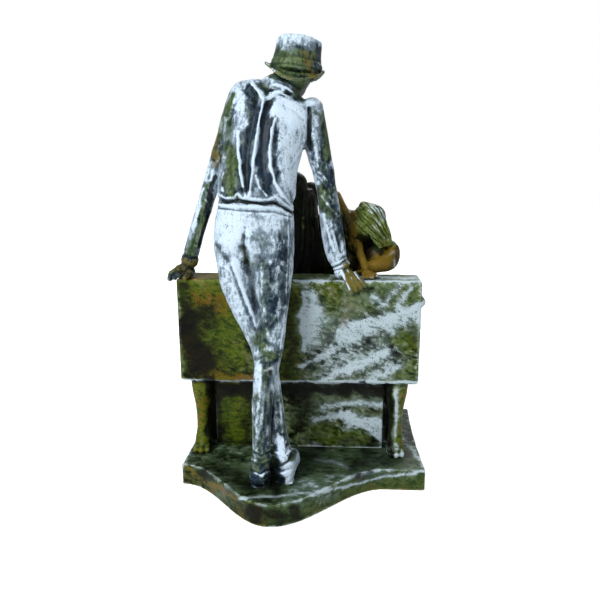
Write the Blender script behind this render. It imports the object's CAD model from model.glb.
"""A cast resin couple statue with its hand-brushed patina, built round its four packed castings.

Shapes are drawn in millimetres: X to the right and Y away from the man's back, with heights
measured up from the top of the base. They are put in metres where a mesh is made.
"""

import math

import bmesh
import bpy
import numpy as np
from mathutils import Euler, Matrix, Vector, noise


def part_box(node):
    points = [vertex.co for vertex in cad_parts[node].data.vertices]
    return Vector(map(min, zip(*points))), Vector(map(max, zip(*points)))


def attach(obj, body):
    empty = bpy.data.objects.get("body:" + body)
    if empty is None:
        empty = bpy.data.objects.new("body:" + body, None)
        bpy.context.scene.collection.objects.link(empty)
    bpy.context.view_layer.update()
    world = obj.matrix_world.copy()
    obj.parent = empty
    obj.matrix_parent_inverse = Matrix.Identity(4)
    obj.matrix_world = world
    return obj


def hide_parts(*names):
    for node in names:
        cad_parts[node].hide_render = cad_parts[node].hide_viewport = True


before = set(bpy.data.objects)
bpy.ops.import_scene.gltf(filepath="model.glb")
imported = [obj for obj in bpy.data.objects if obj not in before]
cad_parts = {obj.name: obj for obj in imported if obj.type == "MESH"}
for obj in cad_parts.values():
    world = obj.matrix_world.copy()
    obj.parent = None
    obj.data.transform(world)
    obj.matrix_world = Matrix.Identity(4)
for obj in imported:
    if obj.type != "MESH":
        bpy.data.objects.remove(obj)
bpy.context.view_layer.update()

MM = 0.001
GAP = 0.3

# Sizes of the base and the settee, as in the castings
BASE_THICKNESS = 16.5
BASE_X = 1.5
BASE_BACK = 81.0
BASE_FRONT = -31.0
BASE_BULGE = 50.0
BASE_WIDTH = 175.6
BULGE_X = -18.5
BULGE_LEFT = 66.0
BULGE_RIGHT = 80.0
BASE_SIDE_HOLLOW = 1.6
BASE_BACK_BOW = 3.0
BASE_EDGE = 1.3
SETTEE_X = -2.8
SETTEE_WIDTH = 174.6
BACK_FRONT = -9.0
BACK_DEPTH = 28.0
BACK_HEIGHT = 77.2
LEG_HEIGHT = 54.8
BACK_EDGE = 2.2
SEAT_DEPTH = 56.0
SEAT_HEIGHT = 38.5
CUSHION_THICKNESS = 15.0
CUSHION_INSET = 2.0
ARM_WIDTH = 12.0
ARM_HEIGHT = 58.0
ARM_ROLL = 7.5
CHEST_WIDTH = 127.0
CHEST_STEP = 10.0
CHEST_SIDE = 13.0
CHEST_SET_BACK = 9.0
CHEST_DEPTH = 62.0
LEG_INSET = 15.0
LEG_TOP = 9.2
LEG_WAIST = 5.3
LEG_FOOT = 6.8
LEG_KICK = 9.0
TOE_RADIUS = 2.6
BUTTON_RADIUS = 4.6
RAIL_TOP = LEG_HEIGHT + BACK_HEIGHT
BACK_REAR = BACK_FRONT + BACK_DEPTH
SEAT_FRONT = BACK_REAR + SEAT_DEPTH
CUSHION_TOP = LEG_HEIGHT + SEAT_HEIGHT + CUSHION_THICKNESS
SETTEE_LEFT = SETTEE_X - SETTEE_WIDTH / 2
SETTEE_RIGHT = SETTEE_X + SETTEE_WIDTH / 2
# The settee's back with a gap round it, as two corners
BACK_BOX = (
    (SETTEE_LEFT - GAP, BACK_FRONT - GAP, LEG_HEIGHT), (SETTEE_RIGHT + GAP, BACK_REAR + GAP, RAIL_TOP + GAP))

# Fineness of the carved skins, in millimetres, and the most triangles that one may have
FIGURE_VOXEL = 0.62
WOMAN_VOXEL = 0.5
SETTEE_VOXEL = 1.0
BASE_VOXEL = 0.95
MOST_TRIANGLES = 190000

# The photograph's camera: its place in the drawing, its tilt, its turn and its focal length in pixels
CAMERA_PLACE = Vector((20.5, -427.2, 217.3))
CAMERA_TILT = math.radians(13.4)
CAMERA_TURN = math.radians(3.0)
FOCAL = 610.0
PICTURE = 600.0
CAMERA_RIGHT = Vector((math.cos(CAMERA_TURN), math.sin(CAMERA_TURN), 0))
CAMERA_BACK = Vector((
    math.sin(CAMERA_TURN) * math.cos(CAMERA_TILT),
    -math.cos(CAMERA_TURN) * math.cos(CAMERA_TILT),
    math.sin(CAMERA_TILT),
))
CAMERA_UP = CAMERA_BACK.cross(CAMERA_RIGHT)

# The drawing's origin in the frame
base_low, base_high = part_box("base")
ORIGIN = Vector(((base_low.x + base_high.x) / 2 - BASE_X * MM, base_high.y - BASE_BACK * MM, base_high.z))
TO_FRAME = Matrix.Translation(ORIGIN) @ Matrix.Scale(MM, 4)


# Mesh helpers

def deselect():
    for obj in list(bpy.context.selected_objects):
        obj.select_set(False)


def pick(obj):
    deselect()
    obj.select_set(True)
    bpy.context.view_layer.objects.active = obj
    return obj


def apply_modifiers(obj):
    pick(obj)
    for modifier in list(obj.modifiers):
        bpy.ops.object.modifier_apply(modifier=modifier.name)
    return obj


def thin_out(obj):
    """Collapse the flattest triangles of a skin that has too many."""
    count = sum(len(face.vertices) - 2 for face in obj.data.polygons)
    if count > MOST_TRIANGLES:
        thin = obj.modifiers.new("thin", "DECIMATE")
        thin.ratio = MOST_TRIANGLES / count
        apply_modifiers(obj)


def block(low, high, round_edge, steps=4):
    """A box between two corners of the drawing, with rounded edges."""
    deselect()
    low, high = Vector(low), Vector(high)
    bpy.ops.mesh.primitive_cube_add(size=1.0, location=TO_FRAME @ ((low + high) / 2))
    obj = bpy.context.active_object
    obj.scale = (high - low) * MM
    bpy.ops.object.transform_apply(location=True, rotation=True, scale=True)
    bpy.ops.object.mode_set(mode="EDIT")
    bpy.ops.mesh.select_all(action="SELECT")
    bpy.ops.mesh.bevel(offset=round_edge * MM, segments=steps, affect="EDGES")
    bpy.ops.object.mode_set(mode="OBJECT")
    return obj


def ball(centre, radii):
    """An egg shape on a place of the drawing."""
    deselect()
    place = TO_FRAME @ Vector(centre)
    bpy.ops.mesh.primitive_uv_sphere_add(segments=32, ring_count=20, radius=MM, location=place)
    obj = bpy.context.active_object
    obj.scale = radii
    bpy.ops.object.transform_apply(location=True, rotation=True, scale=True)
    return obj


def tube_object(name, stations, **options):
    bm = bmesh.new()
    add_tube(bm, stations, **options)
    return shells_object(name, bm)


def shells_object(name, bm):
    bmesh.ops.recalc_face_normals(bm, faces=bm.faces)
    bm.transform(TO_FRAME)
    mesh = bpy.data.meshes.new(name)
    bm.to_mesh(mesh)
    bm.free()
    obj = bpy.data.objects.new(name, mesh)
    bpy.context.scene.collection.objects.link(obj)
    return obj


def join(name, objects):
    pick(objects[0])
    for obj in objects:
        obj.select_set(True)
    bpy.ops.object.join()
    joined = bpy.context.active_object
    joined.name = name
    joined.data.name = name
    return joined


def melt(obj, voxel, rounds):
    """Melt overlapping shells into one skin and soften it a number of rounds."""
    remesh = obj.modifiers.new("melt", "REMESH")
    remesh.mode = "VOXEL"
    remesh.voxel_size = voxel * MM
    soften = obj.modifiers.new("soften", "SMOOTH")
    soften.factor = 0.5
    soften.iterations = rounds
    return apply_modifiers(obj)


def add_ball(bm, centre, radii, turn=(0, 0, 0), sides=28):
    place = Matrix.Translation(centre) @ Euler([math.radians(a) for a in turn]).to_matrix().to_4x4()
    place = place @ Matrix.Diagonal((*radii, 1.0))
    bmesh.ops.create_uvsphere(bm, u_segments=sides, v_segments=sides // 2 + 2, radius=1.0, matrix=place)


def smooth_stations(stations, steps):
    """More stations along a tube, on a smooth curve through the ones that are given."""
    rows = []
    for station in stations:
        width = station[1]
        depth = station[2] if len(station) > 2 else width
        rows.append((*station[0], width, depth))
    points = np.array(rows, float)
    ends = np.vstack((2 * points[0] - points[1], points, 2 * points[-1] - points[-2]))
    finer = []
    for i in range(len(points) - 1):
        a, b, c, d = ends[i:i + 4]
        for k in range(steps):
            t = k / steps
            spot = 0.5 * (2 * b + (c - a) * t + (2 * a - 5 * b + 4 * c - d) * t ** 2
                          + (3 * b - a - 3 * c + d) * t ** 3)
            finer.append((i, t, spot))
    finer.append((len(points) - 2, 1.0, points[-1]))
    out = []
    for i, t, spot in finer:
        entry = [tuple(spot[:3]), spot[3], spot[4]]
        if len(stations[i]) > 3:
            last = Vector(stations[min(i + 1, len(stations) - 1)][3])
            entry.append(tuple(Vector(stations[i][3]).lerp(last, t)))
        out.append(tuple(entry))
    return out


def bridge(bm, loops):
    """Faces between each ring of corners and the next."""
    for lower, upper in zip(loops, loops[1:]):
        for k in range(len(lower)):
            n = (k + 1) % len(lower)
            bm.faces.new((lower[k], lower[n], upper[n], upper[k]))


def add_tube(bm, stations, across=(1, 0, 0), sides=24, dome=0.45, steps=3):
    """A closed tube through stations of (centre, half width, half depth), with rounded ends.

    The half width lies along the across direction, and the half depth square to it and to the path.
    """
    if len(stations) > 2:
        stations = smooth_stations(stations, steps)
    centres = [Vector(s[0]) for s in stations]
    rings = []
    for i, (centre, station) in enumerate(zip(centres, stations)):
        ahead = centres[min(i + 1, len(centres) - 1)]
        behind = centres[max(i - 1, 0)]
        along = (ahead - behind).normalized()
        width = station[1]
        depth = station[2] if len(station) > 2 else width
        side = Vector(station[3] if len(station) > 3 else across)
        side = (side - along * side.dot(along)).normalized()
        rings.append((centre, side, along.cross(side), along, width, depth))
    ends = ((rings[0], -1), (rings[-1], 1))
    for ring, way in ends:
        tip = ring[0] + ring[3] * way * min(ring[4], ring[5]) * dome
        shrink = 0.7 if dome > 0.2 else 0.88
        cap = (tip, ring[1], ring[2], ring[3], ring[4] * shrink, ring[5] * shrink)
        rings.insert(0 if way < 0 else len(rings), cap)
    loops = []
    for centre, side, up, _, width, depth in rings:
        turn = [2 * math.pi * k / sides for k in range(sides)]
        loop = [bm.verts.new(centre + side * width * math.cos(a) + up * depth * math.sin(a)) for a in turn]
        loops.append(loop)
    bridge(bm, loops)
    bm.faces.new(loops[0])
    bm.faces.new(loops[-1])


def finger(bm, knuckle, middle, tip, radius):
    stations = ((knuckle, radius), (middle, radius * 0.97), (tip, radius * 0.8))
    add_tube(bm, stations, across=(0.3, 0.2, 0.9), sides=14)


# Skin helpers: a piece's vertices as arrays, in the drawing's millimetres

def read(obj):
    mesh = obj.data
    co = np.empty(len(mesh.vertices) * 3)
    mesh.vertices.foreach_get("co", co)
    co = (co.reshape(-1, 3) - np.array(ORIGIN)) / MM
    normal = np.empty(len(mesh.vertices) * 3)
    mesh.vertex_normals.foreach_get("vector", normal)
    return co, normal.reshape(-1, 3)


def write(obj, co):
    mesh = obj.data
    mesh.vertices.foreach_set("co", (co * MM + np.array(ORIGIN)).ravel())
    mesh.update()


def seen(co):
    """Where the photograph's camera sees each vertex, in its pixels."""
    away = co - np.array(CAMERA_PLACE)
    deep = -away @ np.array(CAMERA_BACK)
    u = PICTURE / 2 + FOCAL * (away @ np.array(CAMERA_RIGHT)) / deep
    v = PICTURE / 2 - FOCAL * (away @ np.array(CAMERA_UP)) / deep
    return np.stack((u, v), 1)


def near_side(normal):
    return np.clip(0.6 - 1.6 * normal[:, 1], 0, 1)


def from_line(spots, line):
    """How far each spot is from a line through a few points, given as pairs or as one flat row."""
    nearest = np.full(len(spots), np.inf)
    line = np.array(line, float).reshape(-1, spots.shape[1])
    if len(line) == 1:
        return np.linalg.norm(spots - line[0], axis=1)
    for a, b in zip(line, line[1:]):
        run = b - a
        t = np.clip(((spots - a) @ run) / (run @ run), 0, 1)
        nearest = np.minimum(nearest, np.linalg.norm(spots - a - t[:, None] * run, axis=1))
    return nearest


def press(obj, strokes):
    """Raise ridges or press grooves on the side that the photograph shows: (height, half width, line)."""
    co, normal = read(obj)
    spots = seen(co)
    facing = near_side(normal)
    for height, half, line in strokes:
        off = from_line(spots, line)
        co += normal * (height * facing * np.exp(-(off / half) ** 2))[:, None]
    write(obj, co)


def press_front(obj, strokes):
    """Raise ridges or press grooves on the side away from the camera, along lines of (x, height)."""
    co, normal = read(obj)
    facing = np.clip(1.6 * normal[:, 1] - 0.2, 0, 1)
    for height, half, line in strokes:
        off = from_line(co[:, (0, 2)], line)
        co += normal * (height * facing * np.exp(-(off / half) ** 2))[:, None]
    write(obj, co)


def carve(obj, strokes):
    """Raise ridges or press grooves along lines in space: (height, half width, line)."""
    co, normal = read(obj)
    for height, half, line in strokes:
        off = from_line(co, line)
        co += normal * (height * np.exp(-(off / half) ** 2))[:, None]
    write(obj, co)


def ripple(obj, depth, size, stretch=(1, 1, 1), inward=False, where=None):
    """Roughen a skin with soft hills of a given size."""
    co, normal = read(obj)
    scaled = co / (size * np.array(stretch))
    hills = np.array([noise.noise(spot) for spot in scaled.tolist()])
    if inward:
        hills = -0.5 - 0.5 * hills
    if where is not None:
        hills = hills * where(co)
    write(obj, co + normal * (depth * hills)[:, None])


def above(floor):
    """A fade from nought at a height to one a little above it."""
    return lambda co: np.clip((co[:, 2] - floor) / 1.5, 0, 1)


def keep_out(obj, low, high):
    """Push a skin's vertices out of a box, through the nearest face."""
    co, _ = read(obj)
    low, high = np.array(low), np.array(high)
    inside = np.all((co > low) & (co < high), axis=1)
    gaps = np.concatenate((co[inside] - low, high - co[inside]), axis=1)
    face = gaps.argmin(1)
    moved = co[inside]
    rows = np.arange(len(moved))
    axis = face % 3
    moved[rows, axis] = np.where(face < 3, low[axis], high[axis])
    co[inside] = moved
    write(obj, co)


def stay_in(obj, node):
    """Keep a skin inside its casting's box."""
    low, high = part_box(node)
    co, _ = read(obj)
    low = (np.array(low) - np.array(ORIGIN)) / MM
    high = (np.array(high) - np.array(ORIGIN)) / MM
    write(obj, np.clip(co, low, high))


def averaged(values, edges, count, rounds):
    """Each vertex's value, averaged with its neighbours a number of rounds."""
    ends = np.concatenate((edges[:, 0], edges[:, 1]))
    others = np.concatenate((edges[:, 1], edges[:, 0]))
    amount = np.maximum(np.bincount(ends, minlength=count), 1)
    for _ in range(rounds):
        sums = np.stack([np.bincount(ends, values[others, k], count) for k in range(values.shape[1])], 1)
        values = 0.5 * values + 0.5 * sums / amount[:, None]
    return values


def edge_pairs(mesh):
    edges = np.empty(len(mesh.edges) * 2, np.int64)
    mesh.edges.foreach_get("vertices", edges)
    return edges.reshape(-1, 2)


def crest(obj, rounds, reach):
    """Where a skin bulges, near one, and where it is hollow, near nought."""
    co, normal = read(obj)
    soft = averaged(co, edge_pairs(obj.data), len(co), rounds)
    height = np.sum((co - soft) * normal, 1)
    return np.clip(0.5 + 0.5 * (height - np.median(height)) / reach, 0, 1)


def store(obj, name, values):
    attribute = obj.data.attributes.new(name, "FLOAT", "POINT")
    attribute.data.foreach_set("value", np.asarray(values, np.float32))


# The widest stroke whose edge still grows more uneven with its width, in picture pixels
MOST_RAGGED = 9.0


def ragged(spots, size):
    """Shift places in the picture to and fro, so that a brush mark gets an uneven edge."""
    u, v = spots[:, 0], spots[:, 1]
    across = 0.34 * np.sin(v / 7.3 + 1.7 * np.sin(u / 11.1)) + 0.2 * np.sin(v / 2.9 + u / 4.3)
    down = 0.34 * np.sin(u / 8.1 + 1.9 * np.sin(v / 9.7)) + 0.2 * np.sin(u / 3.1 - v / 3.7)
    return spots + size * np.stack((across, down), 1)


def coat(obj, levels, daubs, rounds, reach):
    """Store how much of each paint a skin carries.

    The levels give each paint's amount all over. The daubs add to it on the side that the
    photograph shows, as (amount, half width in its pixels, line in its pixels) for each paint.
    """
    co, normal = read(obj)
    spots = seen(co)
    facing = near_side(normal)
    amounts = {paint: np.full(len(co), level) for paint, level in levels.items()}
    for paint, strokes in daubs.items():
        for amount, half, line in strokes:
            off = from_line(ragged(spots, min(half, MOST_RAGGED)), line)
            amounts[paint] += amount * facing * np.exp(-(off / half) ** 2)
    for paint, values in amounts.items():
        store(obj, paint, np.clip(values, 0, 1))
    store(obj, "crest", crest(obj, rounds, reach))
    return obj


# The base

def bell(t):
    """A smooth hump: one at t = 0, falling to zero at t = 1 and beyond."""
    return 0.5 * (1 + math.cos(math.pi * min(1.0, abs(t))))


def base_outline():
    front_steps = 96
    side_steps = 12
    points = []
    left = BASE_X - BASE_WIDTH / 2
    right = BASE_X + BASE_WIDTH / 2
    for i in range(front_steps + 1):
        x = left + BASE_WIDTH * i / front_steps
        reach = BULGE_LEFT if x < BULGE_X else BULGE_RIGHT
        points.append((x, BASE_FRONT - BASE_BULGE * bell((x - BULGE_X) / reach)))
    run = BASE_BACK - BASE_BACK_BOW - BASE_FRONT
    for i in range(1, side_steps):
        t = i / side_steps
        points.append((right - BASE_SIDE_HOLLOW * math.sin(math.pi * t), BASE_FRONT + run * t))
    for i in range(side_steps + 1):
        t = i / side_steps
        points.append((right - BASE_WIDTH * t, BASE_FRONT + run + BASE_BACK_BOW * math.sin(math.pi * t)))
    for i in range(1, side_steps):
        t = i / side_steps
        points.append((left + BASE_SIDE_HOLLOW * math.sin(math.pi * t), BASE_FRONT + run * (1 - t)))
    return points


def make_base():
    bm = bmesh.new()
    loop = [bm.verts.new((x, y, -BASE_THICKNESS)) for x, y in base_outline()]
    bm.faces.new(loop)
    obj = shells_object("base_casting", bm)
    pick(obj)
    bpy.ops.object.mode_set(mode="EDIT")
    bpy.ops.mesh.select_all(action="SELECT")
    bpy.ops.mesh.extrude_region_move(TRANSFORM_OT_translate={"value": (0, 0, BASE_THICKNESS * MM)})
    bpy.ops.mesh.select_all(action="SELECT")
    bpy.ops.mesh.normals_make_consistent(inside=False)
    bpy.ops.object.mode_set(mode="OBJECT")
    rim = obj.modifiers.new("rim", "BEVEL")
    rim.width = BASE_EDGE * MM
    rim.segments = 4
    rim.limit_method = "ANGLE"
    rim.angle_limit = math.radians(60)
    apply_modifiers(obj)
    melt(obj, BASE_VOXEL, 1)
    off_ground = above(0.8 - BASE_THICKNESS)
    ripple(obj, 0.45, 14, inward=True, where=off_ground)
    ripple(obj, 0.28, 3.2, stretch=(2.2, 1, 1), inward=True, where=off_ground)
    co, _ = read(obj)
    co[co[:, 2] < 0.4 - BASE_THICKNESS, 2] = -BASE_THICKNESS
    write(obj, co)
    stay_in(obj, "base")
    return obj


# The settee

def leg(x, y, kick):
    """A cabriole leg with a paw foot: wide at its knee, thin above its foot, kicked out by its kick."""
    stations = (
        ((x, y - kick * 0.1, LEG_HEIGHT + 1), LEG_TOP, LEG_TOP),
        ((x, y - kick * 0.3, LEG_HEIGHT * 0.84), LEG_TOP * 0.88, LEG_TOP * 0.9),
        ((x, y - kick * 0.3, LEG_HEIGHT * 0.58), LEG_WAIST * 1.1, LEG_WAIST * 1.15),
        ((x, y - kick * 0.4, LEG_HEIGHT * 0.32), LEG_WAIST, LEG_WAIST),
        ((x, y - kick * 0.7, LEG_HEIGHT * 0.14), LEG_FOOT * 0.95, LEG_FOOT),
        ((x, y - kick, LEG_HEIGHT * 0.02 + GAP), LEG_FOOT, LEG_FOOT * 1.1),
    )
    parts = [tube_object("leg", stations, dome=0.1)]
    way = math.copysign(1.0, kick)
    front = y - kick - way * (LEG_FOOT * 1.1 - TOE_RADIUS * 0.4)
    for step in (-1, 0, 1):
        place = (x + step * LEG_FOOT * 0.62, front + way * abs(step) * 1.2, TOE_RADIUS)
        parts.append(ball(place, (TOE_RADIUS, TOE_RADIUS * 1.3, TOE_RADIUS)))
        top = (place[0], place[1] + way * 2.4, TOE_RADIUS * 1.9)
        parts.append(ball(top, (TOE_RADIUS * 0.85, TOE_RADIUS * 1.2, TOE_RADIUS * 0.9)))
    return parts


def settee_blocks():
    seat_top = LEG_HEIGHT + SEAT_HEIGHT
    chest_half = CHEST_WIDTH / 2
    chest_front = BACK_FRONT + CHEST_SET_BACK
    left, right = SETTEE_LEFT, SETTEE_RIGHT
    parts = [
        block((left, BACK_FRONT, LEG_HEIGHT), (right, BACK_REAR, RAIL_TOP), BACK_EDGE, 5),
        block((left + 2, BACK_REAR - 6, LEG_HEIGHT + 0.4), (right - 2, SEAT_FRONT - 2, seat_top), 1.6),
        block((left + ARM_WIDTH - 1, BACK_REAR - 5, seat_top - 2),
              (right - ARM_WIDTH + 1, SEAT_FRONT + CUSHION_INSET, CUSHION_TOP), 4.4, 6),
        block((SETTEE_X - chest_half, chest_front, GAP - 2),
              (SETTEE_X + chest_half, chest_front + CHEST_DEPTH, LEG_HEIGHT + 3), 1.4),
        block((left + CHEST_SIDE, chest_front + CHEST_STEP, GAP - 1),
              (right - CHEST_SIDE, chest_front + CHEST_DEPTH - 4, LEG_HEIGHT + 2), 1.0),
        ball((right - 1.5, BACK_FRONT + 4.8, RAIL_TOP - 16), (BUTTON_RADIUS,) * 3),
    ]
    for x in (left + 0.3, right - ARM_WIDTH - 0.3):
        high = (x + ARM_WIDTH, SEAT_FRONT, LEG_HEIGHT + ARM_HEIGHT)
        parts.append(block((x, BACK_REAR - 4, LEG_HEIGHT + 3), high, 2.0))
        middle = x + ARM_WIDTH / 2
        roll = LEG_HEIGHT + ARM_HEIGHT - 1
        ends = (((middle, BACK_REAR - 4, roll), ARM_ROLL), ((middle, SEAT_FRONT, roll), ARM_ROLL))
        parts.append(tube_object("roll", ends, sides=36))
    for x in (left + LEG_INSET, right - LEG_INSET):
        for y, kick in ((BACK_FRONT + LEG_TOP + 1.5, LEG_KICK), (SEAT_FRONT - LEG_TOP - 2.0, -LEG_KICK)):
            parts += leg(x, y, kick)
    return parts


def settee_seams(obj):
    """Piping round the cushion, scrolls on the arm fronts and shallow buttons on the inside of the back."""
    co, normal = read(obj)
    lift = np.zeros(len(co))
    front = np.clip(normal[:, 1], 0, 1) * (co[:, 1] > SEAT_FRONT - 6)
    cushion = np.abs(co[:, 0] - SETTEE_X) < SETTEE_WIDTH / 2 - ARM_WIDTH - 1
    for height in (CUSHION_TOP - 3.2, LEG_HEIGHT + SEAT_HEIGHT + 1.8):
        lift += 0.7 * front * cushion * np.exp(-((co[:, 2] - height) / 0.9) ** 2)
    lift -= 0.9 * front * cushion * np.exp(-((co[:, 2] - LEG_HEIGHT - SEAT_HEIGHT) / 0.9) ** 2)
    for x in (SETTEE_LEFT + 0.3 + ARM_WIDTH / 2, SETTEE_RIGHT - 0.3 - ARM_WIDTH / 2):
        away = np.hypot(co[:, 0] - x, co[:, 2] - (LEG_HEIGHT + ARM_HEIGHT - 1))
        lift -= 0.7 * (co[:, 1] > SEAT_FRONT) * np.exp(-((away - ARM_ROLL * 0.55) / 0.8) ** 2)
    inside = np.clip(normal[:, 1], 0, 1) * (np.abs(co[:, 1] - BACK_REAR) < 2) * (co[:, 2] > CUSHION_TOP)
    for i in range(7):
        x = SETTEE_X + (i - 3) * 21.0
        away = np.hypot(co[:, 0] - x, (co[:, 2] - (CUSHION_TOP + RAIL_TOP) / 2) * 1.3)
        lift -= 1.1 * inside * np.exp(-(away / 3.4) ** 2)
        lift += 0.5 * inside * np.exp(-(away / 1.2) ** 2)
    write(obj, co + normal * lift[:, None])


def make_settee():
    obj = join("settee_casting", settee_blocks())
    melt(obj, SETTEE_VOXEL, 1)
    settee_seams(obj)
    off_base = above(GAP + 0.3)
    ripple(obj, 0.5, 16, inward=True, where=off_base)
    ripple(obj, 0.3, 2.6, stretch=(1.5, 1, 0.9), inward=True, where=off_base)
    thin_out(obj)
    co, _ = read(obj)
    co[co[:, 2] < GAP, 2] = GAP
    write(obj, co)
    stay_in(obj, "settee")
    return obj


# The man

TORSO = (
    ((-30.6, -15.5, 186.0), 24.0, 17.0), ((-30.4, -15.2, 190.0), 26.2, 19.4),
    ((-29.8, -13.4, 199.0), 26.2, 19.8), ((-28.6, -10.4, 209.0), 25.8, 19.5),
    ((-27.0, -7.0, 219.0), 26.6, 19.5), ((-25.4, -4.0, 229.0), 27.8, 19.4),
    ((-23.0, -1.6, 239.0), 29.6, 18.4), ((-21.0, 0.4, 247.0), 31.0, 16.2),
    ((-19.2, 1.6, 254.0), 29.4, 12.4), ((-18.0, 2.2, 257.4), 24.0, 9.0),
)
# The middle of the hat where its brim meets its crown
HAT = Vector((-4.6, 4.0, 272.6))
HEAD_X = -6.0
EYE_APART = 4.7
EYE_Y = 18.6
EYE_HEIGHT = 270.2


# His features, as their places from the middle of the face and their half sizes
NOSTRIL = ((1.5, 20.6, 266.6), (1.2, 1.6, 1.1))
EYELID = ((4.8, 17.4, 270.4), (2.5, 1.8, 1.6))
CHEEK = ((5.6, 15.2, 265.8), (4.0, 3.2, 4.2))
EAR = ((12.4, 5.0, 269.5), (1.8, 3.2, 4.6))
UPPER_LIP = ((18.9, 262.9), (3.4, 1.6, 0.9))
LOWER_LIP = ((18.7, 260.9), (2.9, 1.7, 1.1))
CHIN = ((17.6, 257.0), (4.0, 3.3, 2.9))


def man_body():
    bm = bmesh.new()
    near_leg = (
        ((-19.4, -20.6, 162), 13.0, 14.6), ((-19.0, -22.6, 146), 13.8, 14.2), ((-19.2, -27, 130), 12.4, 13.2),
        ((-18.9, -35, 106), 9.6, 10.4), ((-19.3, -40, 93), 8.6, 9.0), ((-22.0, -45, 77), 8.0, 8.8),
        ((-24.4, -51, 55), 6.7, 7.4), ((-24.8, -56, 26), 6.0, 6.6), ((-25.8, -59, 10), 6.8, 7.2),
    )
    far_leg = (
        ((-44.4, -20.2, 162), 13.0, 14.6), ((-43.6, -20.8, 146), 14.0, 14.2), ((-41.5, -22, 129), 12.4, 13.2),
        ((-35.9, -24, 113), 10.6, 11.4), ((-31.7, -25, 104), 9.8, 10.4), ((-26.5, -27, 90), 8.6, 8.8),
        ((-22.8, -31, 73), 7.8, 8.2), ((-19.1, -36, 57), 6.7, 7.0), ((-16.4, -40, 46), 6.1, 6.4),
        ((-14.1, -45, 33), 5.6, 6.2), ((-8.8, -52, 13), 6.5, 7.0),
    )
    hips = (
        ((-30.5, -19, 134), 20.0, 9.0), ((-31.5, -19, 143), 25.0, 13.0), ((-32.0, -19, 153), 27.2, 16.6),
        ((-32.0, -18.6, 163), 27.4, 18.0), ((-31.5, -17.2, 174), 26.8, 17.8),
        ((-31.0, -16.0, 184), 25.0, 17.0),
    )
    left_sleeve = (
        ((-43.2, 2, 248.8), 9.5, 9.5), ((-48.2, 1.6, 237), 8.6, 9.2), ((-52.4, 1.6, 226), 7.6, 8.2),
        ((-58.4, 2, 213), 6.2, 6.6), ((-65.4, 2, 193), 5.7, 6.0), ((-70.9, 2, 177), 5.5, 5.8),
        ((-76.4, 2, 161), 5.6, 5.9), ((-80.4, 2, 147.5), 5.5, 5.8),
    )
    right_sleeve = (
        ((3.4, 2, 248.5), 10.2, 9.8), ((7.0, 0.6, 236), 9.0, 9.4), ((9.6, 0, 224), 8.6, 9.0),
        ((12.0, 0, 214), 8.0, 8.2), ((14.4, 0, 205), 7.4, 7.6), ((16.8, 0, 191), 7.1, 7.4),
        ((18.9, 0, 178), 7.6, 7.8), ((21.2, 0, 162), 7.8, 8.0), ((23.6, 0, 149), 7.3, 7.6),
        ((26.2, -1, 143), 5.4, 6.0),
    )
    for limb in (near_leg, far_leg, left_sleeve, right_sleeve):
        add_tube(bm, limb)
    add_tube(bm, hips, sides=32)
    for x in (-43.8, -20.6):
        add_ball(bm, (x, -22.8, 158.0), (13.2, 13.6, 16.0))
    add_tube(bm, TORSO, sides=36)
    add_tube(bm, (((-15.0, 3, 252), 9.0, 9.0), ((-9.5, 5, 268), 8.6, 9.0)))
    add_ball(bm, (HEAD_X, 5.5, 272.0), (12.6, 14.6, 15.0))
    add_ball(bm, (HEAD_X - 0.2, 11.2, 263.6), (8.6, 9.2, 9.4))
    return shells_object("man_casting", bm)


def shoe(bm, heel, turn):
    ahead = Vector((math.sin(math.radians(turn)), math.cos(math.radians(turn)), 0))
    across = Vector((ahead.y, -ahead.x, 0))
    heel = Vector(heel)
    upper = (
        (0, 5.2, 5.4, 5.4), (6, 5.5, 6.6, 6.2), (13, 5.1, 6.2, 5.8), (19, 5.5, 5.4, 5.2), (26, 6.2, 4.8, 4.6),
        (33, 6.3, 4.2, 4.0), (38, 5.5, 3.6, 3.4), (41, 4.3, 3.0, 3.0),
    )
    stations = [(heel + ahead * far + Vector((0, 0, rise)), half, tall) for far, half, tall, rise in upper]
    add_tube(bm, stations, across=across, sides=28)
    sole = ((-0.6, 5.8), (7, 5.9), (15, 5.4), (24, 6.3), (33, 6.8), (40, 5.3), (42.0, 4.2))
    stations = [(heel + ahead * far + Vector((0, 0, 1.5)), half, 1.2) for far, half in sole]
    add_tube(bm, stations, across=across, sides=28, dome=0.8)


def hat_brim(bm):
    """A thin brim whose sides curl up and whose front and back dip, drawn as rings round the crown."""
    sides = 64
    rings = ((10.0, 0.0), (16.0, 0.2), (18.4, 0.9), (20.0, 1.8))
    half = 1.0
    layers = []
    for way in (1, -1):
        for reach, rise in rings if way > 0 else reversed(rings):
            loop = []
            for k in range(sides):
                a = 2 * math.pi * k / sides
                wave = 0.45 * math.sin(5 * a + 0.6) * (reach / 20.0) ** 2
                x, y = reach * math.cos(a), reach * 1.06 * math.sin(a)
                far = reach / 20.0
                dip = 8.6 if y < 0 else 5.2
                z = 0.9 * rise * math.cos(a) ** 4 - dip * far * far * math.sin(a) ** 2
                place = (HAT.x - 0.9 + x, HAT.y + y, HAT.z + z + wave - 0.16 * x + half * way)
                loop.append(bm.verts.new(place))
            layers.append(loop)
    bridge(bm, layers + layers[:1])


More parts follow.
